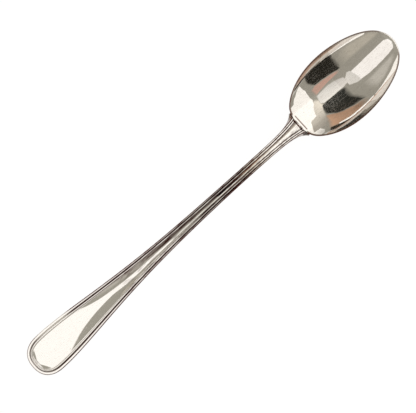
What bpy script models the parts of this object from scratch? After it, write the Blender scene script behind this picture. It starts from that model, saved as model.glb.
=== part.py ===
"""Condiment spoon in metres: +X runs to the bowl tip, +Z is up, and the spoon lies on the plane Z = 0.

A bowl is soldered to a threaded handle. The handle's face stops square against the lip of the bowl, and
its tongue runs on under the heel and carries the bowl.
"""
import bmesh
import bpy
import numpy as np

# Overall size
OVERALL_LENGTH = 0.130       # handle end to bowl tip
JOINT_GAP = 0.0003           # solder line between the bowl and its seat on the handle

# Bowl
BOWL_LENGTH = 0.0338         # square heel face to tip
BOWL_WIDTH = 0.02035         # over the lip
BOWL_DEPTH = 0.0048          # rim line to the inside floor
FLOOR_THICKNESS = 0.0009     # metal under the floor
LIP_WIDTH = 0.0007           # metal at the rim
LIP_CROWN = 0.0002           # rise of the rounded lip over the rim line
LIP_DROP = 0.0003            # outer edge of the lip below the rim line
HEEL_CUT = 0.0005            # length of the egg's round heel that is cut off square
HEEL_CRISPNESS = 40.0        # sharpness of the two corners of the heel
EGG_LEAN = 0.0013            # widest place, this far heelward of the egg's middle
TIP_BLUNTNESS = 0.1          # 0 leaves the tip as sharp as an ellipse
TIP_POWER = 4                # higher keeps the bluntness nearer to the tip
HEEL_BLUNTNESS = 0.3         # 0 leaves the heel as sharp as an ellipse
HEEL_POWER = 8               # higher keeps the bluntness nearer to the heel
RIM_RISE = 0.035             # rise of the rim line towards the tip, per unit of length
FOOT_WIDTH = 0.0024          # width of the worn flat that the bowl stands on
WALL_LIMIT = 0.95            # the wall's arc, carried on past the rim, goes straight on this near to upright

# Handle seen from above
HANDLE_WIDTH = 0.0112        # at its widest, near the end
END_ROUND = 0.0066           # length of the rounded end
END_SQUARENESS = 2.35        # 2 is an ellipse, more is squarer
TAPER_START = 0.0080         # from the end to where the taper begins
TAPER_LENGTH = 0.0277        # length in which most of the taper happens
TAPER_SHAPE = 1.58           # how slowly the taper begins
STEM_WIDTH = 0.00295         # thinnest part of the stem
NECK_WIDTH = 0.0050          # threaded face where it meets the bowl
NECK_FLARE = 0.0042          # length in which the face widens to the neck
SHOULDER_WIDTH = 0.0078      # body of the neck below the face
SHOULDER_FLARE = 0.0016      # length in which the shoulders spread
TONGUE_LENGTH = 0.0072       # tongue under the bowl, from the joint to its tip

# Handle seen from the side
END_LIFT = 0.00008           # lower edge of the handle end over the table
ARCH_HEIGHT = 0.0139         # highest place of the stem over the table
ARCH_TO_JOINT = 0.029        # from the highest place to the joint
STEM_FALL = 0.75             # share of the way down to the handle end that an even curve takes
END_BEND = 4                 # higher keeps the rest of the way down nearer to the handle end
NECK_BEND = 1.5              # higher keeps the bend down to the bowl nearer to the joint
END_THICKNESS = 0.0015       # middle of the handle end
STEM_THICKNESS = 0.0024      # middle of the stem
END_EDGE = 0.0009            # side wall at the handle end
STEM_EDGE = 0.0013           # side wall along the stem
TONGUE_EDGE = 0.0002         # thickness at the rim of the tongue
TONGUE_SWELL = 0.0004        # extra thickness along the middle of the tongue
NECK_FILLET = 0.0012         # blend where the stem runs into the tongue

# Double-thread border of the face
OUTER_THREAD = 0.00080       # width at the handle end
INNER_THREAD = 0.00066       # width at the handle end
STEM_THREAD_SHARE = 0.88     # both threads on the stem, against the handle end
THREAD_FLATNESS = 6          # 2 rounds the threads, more flattens their crests
GROOVE_DEPTH = 0.00016       # below the crests of the threads
EDGE_DROP = 0.00025          # outer edge of the face below the crests
PANEL_CROWN = 0.0007         # rise of the domed panel over its groove
END_CROWN = 0.40             # share of that rise at the handle end
CROWN_GROWTH = 0.0187        # length in which the rise grows to its full height
CROWN_REACH = 0.0010         # panels narrower than this are flatter

# Finish
BOWL_COLOUR = (0.86, 0.84, 0.80)
BOWL_ROUGHNESS = 0.12
HANDLE_COLOUR = (0.87, 0.85, 0.81)
HANDLE_ROUGHNESS = 0.10
CREASE_ANGLE = 40.0          # degrees, edges bent more than this look sharp

# Mesh density
BOWL_SIDES = 56
WALL_RINGS = 9
FLOOR_SHARE = 0.08           # innermost ring of the inside, against the rim
LIP_PLACES = (0.7, 0.4, 0.15)            # rings over the lip, from its inner edge at 1 to its outer at 0
PANEL_PLACES = (0.0, 0.35, 0.7)          # lines on the domed panel, from its middle at 0 to its groove at 1
THREAD_PLACES = (1.0, 0.7, 0.0, -0.7)    # lines on one thread, from its inner groove past its crest at 0
BELLY_PLACES = (1.0, 0.85, 0.6, 0.3, 0.0)    # lines on the underside, from the side wall to the middle
END_STEPS = 9
SHAFT_STEPS = 24
NECK_STEPS = 18
TONGUE_STEPS = 10
NECK_ZONE = 0.030            # length before the joint that has closer steps
MERGE_DISTANCE = 1e-7        # points closer than this are one

# Worked out from the sizes above
END_X = -OVERALL_LENGTH / 2
TIP_X = OVERALL_LENGTH / 2
HEEL_X = TIP_X - BOWL_LENGTH
JOINT_X = HEEL_X - JOINT_GAP
EGG_RADIUS = (BOWL_LENGTH + HEEL_CUT) / 2
BOWL_X = TIP_X - EGG_RADIUS - EGG_LEAN
RIM_HEIGHT = FLOOR_THICKNESS + BOWL_DEPTH
FOOT_SHARE = FOOT_WIDTH / BOWL_WIDTH
CUTTER_TOP = ARCH_HEIGHT + RIM_HEIGHT


def along_egg(x, inset):
    """Place along the egg drawn in by inset: 1 at its tip and -1 at its uncut heel."""
    radius = EGG_RADIUS - inset
    return 2 * x / (radius + np.sqrt(np.maximum(radius ** 2 + 4 * EGG_LEAN * x, 0.0)))


def egg_half_width(along, inset):
    """Half width that the egg is stretched to, a little more at its tip and heel to make them blunt."""
    tip = TIP_BLUNTNESS * np.maximum(along, 0.0) ** TIP_POWER
    heel = HEEL_BLUNTNESS * np.maximum(-along, 0.0) ** HEEL_POWER
    return (BOWL_WIDTH / 2 - inset) * (1 + tip + heel)


def cut_circle_gauge(along, across, inset):
    """How far out a place lies: 1 on a unit circle whose heel side is cut off square."""
    heel = np.maximum(-along, 0.0) / -along_egg(HEEL_X + inset - BOWL_X, inset)
    return (np.hypot(along, across) ** HEEL_CRISPNESS + heel ** HEEL_CRISPNESS) ** (1 / HEEL_CRISPNESS)


def bowl_gauge(x, y, inset):
    """1 on the bowl's outline drawn in by inset, 0 at its middle, from where x and y are measured."""
    along = along_egg(x, inset)
    return cut_circle_gauge(along, y / egg_half_width(along, inset), inset)


def bowl_ring(share, inset):
    """Points of one ring: share 1 is the outline drawn in by inset, and 0 is the bowl's middle."""
    angle = np.linspace(0.0, 2 * np.pi, BOWL_SIDES, endpoint=False)
    scale = share / cut_circle_gauge(np.cos(angle), np.sin(angle), inset)
    along = np.cos(angle) * scale
    x = (EGG_RADIUS - inset + EGG_LEAN * along) * along
    y = egg_half_width(along, inset) * np.sin(angle) * scale
    return BOWL_X + x, y


def rim_height(x):
    return RIM_HEIGHT + RIM_RISE * (x - BOWL_X)


def arc_drop(share, half_width, depth):
    """Drop of a circular section, 1 at its middle and 0 at its rim, straight on past the wall limit."""
    radius = (half_width ** 2 + depth ** 2) / (2 * depth)
    reach = np.minimum(share * half_width, WALL_LIMIT * radius)
    above = np.sqrt(radius ** 2 - reach ** 2)
    straight = (share * half_width - reach) * reach / above
    return (above - straight - (radius - depth)) / depth


def inside_height(x, share):
    drop = arc_drop(share, BOWL_WIDTH / 2 - LIP_WIDTH, BOWL_DEPTH)
    return rim_height(x) - (rim_height(x) - FLOOR_THICKNESS) * drop


def underside_height(x, share):
    depth = RIM_HEIGHT - LIP_DROP
    drop = arc_drop(share, BOWL_WIDTH / 2, depth) / arc_drop(FOOT_SHARE, BOWL_WIDTH / 2, depth)
    return (rim_height(x) - LIP_DROP) * np.maximum(1 - drop, 0.0)


def seat_height(x, y):
    """Height of the bowl's underside, grown by the solder gap."""
    share = bowl_gauge(x - BOWL_X, y, -JOINT_GAP)
    return underside_height(x, share) - JOINT_GAP


def taper(x):
    """1 at the wide end of the handle, falling to 0 along the stem."""
    beyond = np.maximum(x - END_X - TAPER_START, 0.0) / TAPER_LENGTH
    return np.exp(-beyond ** TAPER_SHAPE)


def between(stem_value, end_value, x):
    return stem_value + (end_value - stem_value) * taper(x)


def end_rounding(x):
    """0 at the very end of the handle, 1 where the rounded end is over."""
    inside = np.clip((END_X + END_ROUND - x) / END_ROUND, 0.0, 1.0)
    return (1 - inside ** END_SQUARENESS) ** (1 / END_SQUARENESS)


def tongue_rounding(x):
    """1 up to the joint, 0 at the tip of the tongue."""
    beyond = np.clip((x - JOINT_X) / TONGUE_LENGTH, 0.0, 1.0)
    return np.sqrt(1 - beyond ** 2)


def flare(x, length):
    return np.exp(-np.maximum(JOINT_X - x, 0.0) / length)


def face_half_width(x):
    width = between(STEM_WIDTH, HANDLE_WIDTH, x) + (NECK_WIDTH - STEM_WIDTH) * flare(x, NECK_FLARE)
    return width / 2 * end_rounding(x) * tongue_rounding(x)


def body_half_width(x):
    spread = (SHOULDER_WIDTH - NECK_WIDTH) / 2 * flare(x, SHOULDER_FLARE) * tongue_rounding(x)
    return face_half_width(x) + spread


def face_height(x):
    """Height of the thread crests along the handle: up from the bent end, over the arch, down to the lip."""
    top_x = JOINT_X - ARCH_TO_JOINT
    before = np.maximum(top_x - x, 0.0) / (top_x - END_X)
    after = np.clip((x - top_x) / ARCH_TO_JOINT, 0.0, 1.0)
    climb = ARCH_HEIGHT - END_EDGE - END_LIFT
    fall = ARCH_HEIGHT - rim_height(HEEL_X) - LIP_CROWN
    bent = STEM_FALL * before ** 2 + (1 - STEM_FALL) * before ** END_BEND
    return ARCH_HEIGHT - climb * bent - fall * after ** NECK_BEND


def blended_low(first, second):
    """The lower of two heights, with a rounded change from one to the other."""
    mix = np.maximum(NECK_FILLET - np.abs(first - second), 0.0) / NECK_FILLET
    return np.minimum(first, second) - mix ** 2 * NECK_FILLET / 4


def handle_stations():
    """Places along the handle: close at the rounded end, at the neck and at the tip of the tongue."""
    turn = np.linspace(0.0, np.pi / 2, END_STEPS)
    end = END_X + END_ROUND * (1 - np.cos(turn))
    shaft = np.linspace(end[-1], JOINT_X - NECK_ZONE, SHAFT_STEPS)
    neck = np.linspace(shaft[-1], JOINT_X, NECK_STEPS)
    tongue = JOINT_X + TONGUE_LENGTH * np.sin(np.linspace(0.0, np.pi / 2, TONGUE_STEPS))
    return np.concatenate((end[:-1], shaft[:-1], neck[:-1], tongue))


def inward(x, y):
    """Unit normals of the half outline, pointing in to the middle of the face."""
    step_x = np.gradient(x)
    step_y = np.gradient(y)
    length = np.hypot(step_x, step_y)
    normal_x = step_y / length
    normal_y = -step_x / length
    normal_x[[0, -1]] = 1.0, -1.0
    normal_y[[0, -1]] = 0.0
    return normal_x, normal_y


def thread_lines(x, y):
    """Crests, flanks and grooves of the two threads, from the groove beside the panel out to the edge."""
    normal_x, normal_y = inward(x, y)
    scale = between(STEM_THREAD_SHARE, 1.0, x) * tongue_rounding(x)
    threads = ((OUTER_THREAD + INNER_THREAD / 2, INNER_THREAD / 2, GROOVE_DEPTH),
               (OUTER_THREAD / 2, OUTER_THREAD / 2, EDGE_DROP))
    lines = []
    for centre, half, outer_drop in threads:
        for place in THREAD_PLACES:
            depth = GROOVE_DEPTH if place > 0 else outer_drop
            lines.append((centre + half * place, depth * abs(place) ** THREAD_FLATNESS))
    lines.append((0.0, EDGE_DROP))
    columns = []
    for offset, depth in lines:
        line_x = x + normal_x * offset * scale
        line_y = np.maximum(y + normal_y * offset * scale, 0.0)
        columns.append((line_x, line_y, face_height(line_x) - depth))
    return columns


def panel_lines(groove):
    """Domed panel from its middle line out to the groove."""
    x, half_width, height = groove
    grown = np.clip((x - END_X - TAPER_START) / CROWN_GROWTH, 0.0, 1.0)
    crown = PANEL_CROWN * (END_CROWN + (1 - END_CROWN) * grown) * end_rounding(x)
    crown = crown * (1 - np.exp(-(half_width / CROWN_REACH) ** 2))
    columns = []
    for share in PANEL_PLACES:
        columns.append((x, half_width * share, height + crown * (1 - share ** 2)))
    return columns


def belly_lines(x, half_width):
    """Underside of the handle and its tongue, from the side wall in to the middle line."""
    edge = between(STEM_EDGE, END_EDGE, x)
    swell = (between(STEM_THICKNESS, END_THICKNESS, x) - edge) * end_rounding(x) * tongue_rounding(x)
    columns = []
    for share in BELLY_PLACES:
        y = half_width * share
        round_share = 1 - share ** 2
        stem = face_height(x) - edge - swell * round_share
        tongue = seat_height(x, y) - TONGUE_EDGE - TONGUE_SWELL * round_share * tongue_rounding(x)
        columns.append((x, y, np.maximum(blended_low(stem, tongue), 0.0)))
    return columns


def silver(name, colour, roughness):
    material = bpy.data.materials.new(name)
    material.use_nodes = True
    shader = material.node_tree.nodes["Principled BSDF"]
    shader.inputs["Base Color"].default_value = (*colour, 1.0)
    shader.inputs["Roughness"].default_value = roughness
    shader.inputs["Metallic"].default_value = 1.0
    return material


def add_object(name, mesh_data, material=None):
    mesh = bpy.data.meshes.new(name)
    mesh_data.to_mesh(mesh)
    mesh_data.free()
    mesh.shade_smooth()
    mesh.set_sharp_from_angle(angle=np.radians(CREASE_ANGLE))
    if material:
        mesh.materials.append(material)
    piece = bpy.data.objects.new(name, mesh)
    bpy.context.scene.collection.objects.link(piece)
    return piece


def add_points(mesh_data, columns):
    """One vertex for each point of each column, as rows along the columns."""
    grid = np.moveaxis(np.array(columns), 1, -1)
    return [[mesh_data.verts.new(point) for point in column] for column in grid]


def lofted_rings(rings):
    """Closed skin through rings of points, with a flat face in the first ring and in the last."""
    mesh_data = bmesh.new()
    loops = add_points(mesh_data, rings)
    for inner, outer in zip(loops, loops[1:]):
        for i in range(len(inner)):
            j = (i + 1) % len(inner)
            mesh_data.faces.new((inner[i], outer[i], outer[j], inner[j]))
    mesh_data.faces.new(loops[0])
    mesh_data.faces.new(loops[-1][::-1])
    return mesh_data


def wall_shares(innermost):
    """Shares of the rings of one wall, from the innermost to the rim, closer where the wall is steep."""
    return np.sin(np.linspace(np.arcsin(innermost), np.pi / 2, WALL_RINGS))


def bowl_rings():
    """Rings from the inside floor up the wall, over the lip and down to the flat foot."""
    rings = []
    for share in wall_shares(FLOOR_SHARE):
        x, y = bowl_ring(share, LIP_WIDTH)
        rings.append((x, y, inside_height(x, share)))
    for place in LIP_PLACES:
        x, y = bowl_ring(1.0, LIP_WIDTH * place)
        rings.append((x, y, rim_height(x) + LIP_CROWN * (1 - (2 * place - 1) ** 2)))
    for share in wall_shares(FOOT_SHARE)[::-1]:
        x, y = bowl_ring(share, 0.0)
        rings.append((x, y, underside_height(x, share)))
    rings[0][2][:] = FLOOR_THICKNESS
    rings[-1][2][:] = 0.0
    return rings


def make_bowl():
    material = silver("bowl_silver", BOWL_COLOUR, BOWL_ROUGHNESS)
    return add_object("bowl", lofted_rings(bowl_rings()), material)


def make_seat_cutter():
    """The bowl's outer form grown by the solder gap and carried up past the rim."""
    rings = []
    x, y = bowl_ring(1.0, -JOINT_GAP)
    rings.append((x, y, np.full_like(x, CUTTER_TOP)))
    for share in wall_shares(FOOT_SHARE)[::-1]:
        x, y = bowl_ring(share, -JOINT_GAP)
        rings.append((x, y, underside_height(x, share) - JOINT_GAP))
    cutter = add_object("seat_cutter", lofted_rings(rings))
    cutter.hide_render = True
    cutter.display_type = "WIRE"
    return cutter


def make_handle(cutter):
    x = handle_stations()
    threads = thread_lines(x, face_half_width(x))
    columns = panel_lines(threads[0]) + threads + belly_lines(x, body_half_width(x))
    mesh_data = bmesh.new()
    lines = add_points(mesh_data, columns)
    for inner, outer in zip(lines, lines[1:]):
        for i in range(len(inner) - 1):
            mesh_data.faces.new((inner[i], inner[i + 1], outer[i + 1], outer[i]))
    bmesh.ops.remove_doubles(mesh_data, verts=mesh_data.verts, dist=MERGE_DISTANCE)
    material = silver("handle_silver", HANDLE_COLOUR, HANDLE_ROUGHNESS)
    handle = add_object("handle", mesh_data, material)
    mirror = handle.modifiers.new("other_half", "MIRROR")
    mirror.use_axis = (False, True, False)
    mirror.merge_threshold = MERGE_DISTANCE
    seat = handle.modifiers.new("seat", "BOOLEAN")
    seat.operation = "DIFFERENCE"
    seat.object = cutter
    return handle


def main():
    for old in list(bpy.data.objects):
        bpy.data.objects.remove(old)
    spoon = bpy.data.objects.new("spoon", None)
    bpy.context.scene.collection.objects.link(spoon)
    cutter = make_seat_cutter()
    for piece in (make_bowl(), make_handle(cutter), cutter):
        piece.parent = spoon


main()
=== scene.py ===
# Condiment spoon in polished silver: its finished surfaces, light and camera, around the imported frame.
# Lengths are metres. +X runs to the tip of the bowl, +Z is up, and the spoon lies on the plane Z = 0.
import math

import bmesh
import bpy
import numpy as np
from mathutils import Matrix, Vector


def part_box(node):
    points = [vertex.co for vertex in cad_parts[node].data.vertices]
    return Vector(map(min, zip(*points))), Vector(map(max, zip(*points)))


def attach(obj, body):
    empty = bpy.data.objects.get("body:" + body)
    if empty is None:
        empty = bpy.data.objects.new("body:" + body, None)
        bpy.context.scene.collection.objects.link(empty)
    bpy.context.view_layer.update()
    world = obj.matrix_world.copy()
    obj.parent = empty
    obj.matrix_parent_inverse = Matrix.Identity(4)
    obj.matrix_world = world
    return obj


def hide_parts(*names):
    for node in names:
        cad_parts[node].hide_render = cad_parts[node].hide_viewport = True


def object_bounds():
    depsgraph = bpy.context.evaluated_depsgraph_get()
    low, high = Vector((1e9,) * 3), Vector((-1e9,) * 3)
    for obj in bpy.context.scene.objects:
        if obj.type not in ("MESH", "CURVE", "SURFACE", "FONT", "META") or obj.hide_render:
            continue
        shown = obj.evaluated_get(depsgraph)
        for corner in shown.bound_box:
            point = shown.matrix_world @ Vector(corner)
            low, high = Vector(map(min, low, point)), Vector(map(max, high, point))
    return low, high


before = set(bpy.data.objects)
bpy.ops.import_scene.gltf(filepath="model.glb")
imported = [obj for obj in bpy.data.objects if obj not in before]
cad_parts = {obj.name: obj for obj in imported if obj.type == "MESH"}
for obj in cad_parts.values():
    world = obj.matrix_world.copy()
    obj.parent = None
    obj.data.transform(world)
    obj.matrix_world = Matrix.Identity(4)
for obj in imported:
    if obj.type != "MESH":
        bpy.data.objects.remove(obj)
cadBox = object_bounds()
bowlLow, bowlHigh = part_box("bowl")
handleLow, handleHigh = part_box("handle")
print("frame loaded:", ", ".join(sorted(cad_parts)))

bowlSpec = {
    "tip": bowlHigh.x,
    "width": bowlHigh.y - bowlLow.y,
    "length": 0.0338,           # square heel to tip
    "depth": 0.0048,            # rim line to the inside floor
    "floor": 0.0009,            # metal under the floor
    "lipWidth": 0.00045,
    "lipCrest": 0.0002,         # crest of the lip from its inner edge
    "lipCrown": 0.0002,         # crest over the rim line
    "lipDrop": 0.0003,          # outer edge below the rim line
    "heelCut": 0.0005,          # round heel that is cut off square
    "heelCrispness": 40.0,
    "heelReach": 0.75,          # rings inside this share keep the heel round
    "eggLean": 0.0013,          # widest place, heelward of the egg's middle
    "tipBluntness": 0.1,
    "tipPower": 4,
    "heelBluntness": 0.2,
    "heelPower": 8,
    "rimRise": 0.035,           # rise of the rim towards the tip
    "footWidth": 0.0024,        # worn flat that the bowl stands on
    "footSoftness": 0.004,
    "wallLimit": 0.95,          # the wall's arc goes straight on this near to upright
    "bridgeWidth": 0.0052,      # part of the heel where the neck runs on over the lip
    "bridgeFade": 0.0008,
    "edgeReflectionLine": 0.00038,        # width of the painted dark reflection line at the outer edge
    "edgeReflectionFade": (0.0630, 0.0642),  # where that painted line fades out towards the tip
    "reflectionDepth": (0.0007, 0.0013),  # painted reflections on the lip and the wall below it: a brown one on +Y, a grey one on -Y
    "reflectionShare": (0.6, 0.35),
    "reflectionStart": ((0.0055, 0.0085), (0.0035, 0.006)),   # from the heel
    "reflectionThinning": 0.6,        # share of its depth in which it's full
    "brownReflectionEnd": (0.0550, 0.0490),   # the painted brown reflection fades out before the tip
    "neckLine": 0.00084,        # faint line across the heel, from the seam
    "neckLineWidth": 0.00016,
    "neckLineEnds": (0.00253, 0.0023),
    "neckLineGrime": 0.9,
    "sides": 360,
    "wallRings": 80,
    "lipRings": 14,             # on each side of the crest
    "undersideRings": 70,
}
bowlSpec["eggRadius"] = (bowlSpec["length"] + bowlSpec["heelCut"]) / 2
bowlSpec["middle"] = bowlSpec["tip"] - bowlSpec["eggRadius"] - bowlSpec["eggLean"]
bowlSpec["heel"] = bowlSpec["tip"] - bowlSpec["length"]
bowlSpec["rim"] = bowlSpec["floor"] + bowlSpec["depth"]


def fade(low, high, value):
    # smooth step: 0 up to low and 1 from high on, falling where low is the larger
    part = np.clip((value - low) / (high - low), 0.0, 1.0)
    return part * part * (3 - 2 * part)


def blendTo(first, second, share):
    return first + (second - first) * share


def grimeAndShadeLine(distance, width):
    # 1 along the middle of a line (tarnish in grooves, painted dark reflections at edges), with steep flanks:
    # exp(-(distance / width) to the fourth)
    return np.exp(-(distance / width) ** 4)


def alongEgg(x, inset):
    # place along the egg, 1 at the tip and -1 at the uncut heel: x = radius a + lean a squared, solved for a
    radius = bowlSpec["eggRadius"] - inset
    return 2 * x / (radius + np.sqrt(np.maximum(radius ** 2 + 4 * bowlSpec["eggLean"] * x, 0.0)))


def eggHalfWidth(along, inset):
    # half the width at a place along the egg: blunter at the tip and the heel by a power of the place
    tip = bowlSpec["tipBluntness"] * np.maximum(along, 0.0) ** bowlSpec["tipPower"]
    heel = bowlSpec["heelBluntness"] * np.maximum(-along, 0.0) ** bowlSpec["heelPower"]
    return (bowlSpec["width"] / 2 - inset) * (1 + tip + heel)


def cutCircleGauge(along, across, inset):
    # 1 on a unit circle whose heel side is cut off square, by the high-power mean of circle and cut
    crisp = bowlSpec["heelCrispness"]
    cut = -alongEgg(bowlSpec["heel"] + inset - bowlSpec["middle"], inset)
    heel = np.maximum(-along, 0.0) / cut
    return (np.hypot(along, across) ** crisp + heel ** crisp) ** (1 / crisp)


def bowlGauge(x, y, inset):
    # 1 on the bowl's outline, less inside it
    along = alongEgg(x - bowlSpec["middle"], inset)
    return cutCircleGauge(along, y / eggHalfWidth(along, inset), inset)


def bowlRing(share, inset, angle):
    # point of the ring at an angle: the unit circle shrunk to share, stretched to the egg,
    # with the square heel only near the rim
    gauge = cutCircleGauge(np.cos(angle), np.sin(angle), inset)
    scale = share / blendTo(1.0, gauge, fade(bowlSpec["heelReach"], 1.0, share))
    along = np.cos(angle) * scale
    x = (bowlSpec["eggRadius"] - inset + bowlSpec["eggLean"] * along) * along
    y = eggHalfWidth(along, inset) * np.sin(angle) * scale
    return bowlSpec["middle"] + x, y


def rimHeight(x):
    # rim line, rising evenly towards the tip
    return bowlSpec["rim"] + bowlSpec["rimRise"] * (x - bowlSpec["middle"])


def arcDrop(share, halfWidth, depth):
    # circular section: 1 in the middle, 0 at the rim, and a straight line past the limit
    radius = (halfWidth ** 2 + depth ** 2) / (2 * depth)
    reach = np.minimum(share * halfWidth, bowlSpec["wallLimit"] * radius)
    above = np.sqrt(radius ** 2 - reach ** 2)
    straight = (share * halfWidth - reach) * reach / above
    return (above - straight - (radius - depth)) / depth


def insideHeight(x, share):
    # rim line less the arc's share of the depth
    drop = arcDrop(share, bowlSpec["width"] / 2 - bowlSpec["lipWidth"], bowlSpec["depth"])
    return rimHeight(x) - (rimHeight(x) - bowlSpec["floor"]) * drop


def undersideHeight(x, share):
    # the outer arc, cut by the table with a soft edge round the foot
    half = bowlSpec["width"] / 2
    depth = bowlSpec["rim"] - bowlSpec["lipDrop"]
    rise = 1 - arcDrop(share, half, depth) / arcDrop(bowlSpec["footWidth"] / bowlSpec["width"], half, depth)
    soft = (rise + np.hypot(rise, bowlSpec["footSoftness"])) / 2
    return (rimHeight(x) - bowlSpec["lipDrop"]) * soft


def neckBridge(x, y):
    # 1 on the part of the heel where the handle joins
    half = bowlSpec["bridgeWidth"] / 2
    return fade(half + bowlSpec["bridgeFade"], half, np.abs(y)) * (x < bowlSpec["middle"])


def rimReflections(x, y, z):
    # painted brown and grey reflections on the wall and lip, thinning out downwards
    spec = bowlSpec
    below = rimHeight(x) - z
    brownReflection, greyReflection = [share * fade(depth, depth * spec["reflectionThinning"], below) * fade(*start, x - spec["heel"])
                   for depth, share, start in zip(spec["reflectionDepth"], spec["reflectionShare"], spec["reflectionStart"])]
    return brownReflection * (y > 0) * fade(*spec["brownReflectionEnd"], x), greyReflection * (y <= 0)


def neckLine(x, y):
    # faint line across the heel: exp(-(distance / width) squared), fading at its ends
    spec = bowlSpec
    line = np.exp(-((x - spec["heel"] - spec["neckLine"]) / spec["neckLineWidth"]) ** 2)
    return spec["neckLineGrime"] * line * fade(*spec["neckLineEnds"], np.abs(y))


def lipHeight(x, y, inward):
    # over the lip: a parabola up to the crest, then a quarter of an ellipse down to the outer edge;
    # where the handle joins, a straight slope from the neck's threads down to the inner edge
    crest, width = bowlSpec["lipCrest"], bowlSpec["lipWidth"]
    inner = bowlSpec["lipCrown"] * (1 - (1 - np.minimum(inward / crest, 1.0)) ** 2)
    beyond = np.clip((inward - crest) / (width - crest), 0.0, 1.0)
    outer = (bowlSpec["lipCrown"] + bowlSpec["lipDrop"]) * (1 - np.sqrt(1 - beyond ** 2))
    slope = bowlSpec["lipCrown"] * inward / width
    return rimHeight(x) + blendTo(inner - outer, slope, neckBridge(x, y))


def quarterTurn(count):
    # even angles up to a right angle, without the first
    return np.linspace(0.0, math.pi / 2, count + 1)[1:]


def bowlPoints():
    # rings run from the middle of the floor up the wall, over the lip and down the underside to the foot
    spec = bowlSpec
    wall = np.sin(quarterTurn(spec["wallRings"]))
    crestward = spec["lipCrest"] * np.linspace(0.0, 1.0, spec["lipRings"] + 1)[1:]
    edgeward = blendTo(spec["lipCrest"], spec["lipWidth"], np.sin(quarterTurn(spec["lipRings"])))
    lip = np.concatenate((crestward, edgeward))
    underside = np.cos(quarterTurn(spec["undersideRings"]))[:-1]
    share = np.concatenate((wall, np.ones_like(lip), underside))[:, None]
    inward = np.concatenate((np.zeros_like(wall), lip, np.full_like(underside, spec["lipWidth"])))[:, None]
    angle = np.linspace(0.0, 2 * math.pi, spec["sides"], endpoint=False)[None, :]
    x, y = bowlRing(share, spec["lipWidth"] - inward, angle)
    ringNumber = np.arange(len(share))[:, None]
    onWall = ringNumber < len(wall)
    onLip = ringNumber < len(wall) + len(lip)
    pastWall = np.where(onLip, lipHeight(x, y, inward), undersideHeight(x, share))
    z = np.where(onWall, insideHeight(x, share), pastWall)
    # painted reflections on the lip: brown on +Y, and grey on -Y, which darkens along with the outside's
    # tarnish
    brownReflection, greyReflection = rimReflections(x, y, z)
    outsideAndGreyReflection = np.where(onLip, greyReflection, 1.0)
    below = np.maximum(rimHeight(x) - spec["lipDrop"] - z, 0.0)
    # painted dark reflection along the lip's outer edge and down the outside, fading out towards the tip
    fromEdge = np.where(onLip, spec["lipWidth"] - inward, below)
    edgeReflectionLine = grimeAndShadeLine(fromEdge, spec["edgeReflectionLine"]) * (1 - fade(*spec["edgeReflectionFade"], x))
    lines = np.maximum(edgeReflectionLine * (1 - neckBridge(x, y)), neckLine(x, y) * onLip)
    return np.stack((x, y, z), -1), outsideAndGreyReflection, lines, brownReflection * onLip


weldDistance = 1e-7     # nearer points become one


def addPiece(name, points, faces, attributes):
    mesh = bpy.data.meshes.new(name)
    mesh.from_pydata(points.tolist(), [], faces)
    for key, values in attributes.items():
        layer = mesh.attributes.new(key, "FLOAT", "POINT")
        layer.data.foreach_set("value", np.ascontiguousarray(values, np.float32).ravel())
    work = bmesh.new()
    work.from_mesh(mesh)
    bmesh.ops.remove_doubles(work, verts=work.verts, dist=weldDistance)
    bmesh.ops.recalc_face_normals(work, faces=work.faces)
    work.to_mesh(mesh)
    work.free()
    mesh.shade_smooth()
    piece = bpy.data.objects.new(name, mesh)
    bpy.context.scene.collection.objects.link(piece)
    print(name, "has", len(mesh.polygons), "faces")
    return piece


def gridFaces(rows, columns, closed):
    # quads between neighbours of a grid; closed joins the last column to the first
    row = np.arange(rows - 1)[:, None]
    column = np.arange(columns if closed else columns - 1)[None, :]
    after = (column + 1) % columns
    corners = (row * columns + column, (row + 1) * columns + column,
               (row + 1) * columns + after, row * columns + after)
    return np.stack(corners, -1).reshape(-1, 4)


def makeBowl():
    points, outsideAndGreyReflection, lines, brownReflection = bowlPoints()
    rings, sides = outsideAndGreyReflection.shape
    middle = bowlSpec["middle"]
    lowest = float(undersideHeight(middle, 0.0))
    poles = np.array([[middle, 0.0, bowlSpec["floor"]], [middle, 0.0, lowest]])
    allPoints = np.concatenate((points.reshape(-1, 3), poles))
    z = allPoints[:, 2]
    allPoints[:, 2] = np.maximum(z - lowest * (z < bowlSpec["floor"]), 0.0)     # sets the foot on the table
    side = np.arange(sides)
    after = (side + 1) % sides
    floorFan = np.stack((np.full(sides, rings * sides), side, after), -1)
    lastRing = (rings - 1) * sides
    footFan = np.stack((np.full(sides, rings * sides + 1), lastRing + after, lastRing + side), -1)
    faces = gridFaces(rings, sides, True).tolist() + floorFan.tolist() + footFan.tolist()
    attributes = {"outsideAndGreyReflection": np.concatenate((outsideAndGreyReflection.ravel(), [0.0, 1.0])),
                  "grooveTarnishAndPaintedShade": np.concatenate((lines.ravel(), [0.0, 0.0])),
                  "brownReflection": np.concatenate((brownReflection.ravel(), [0.0, 0.0]))}
    return addPiece("silver_bowl", allPoints, faces, attributes)


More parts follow.
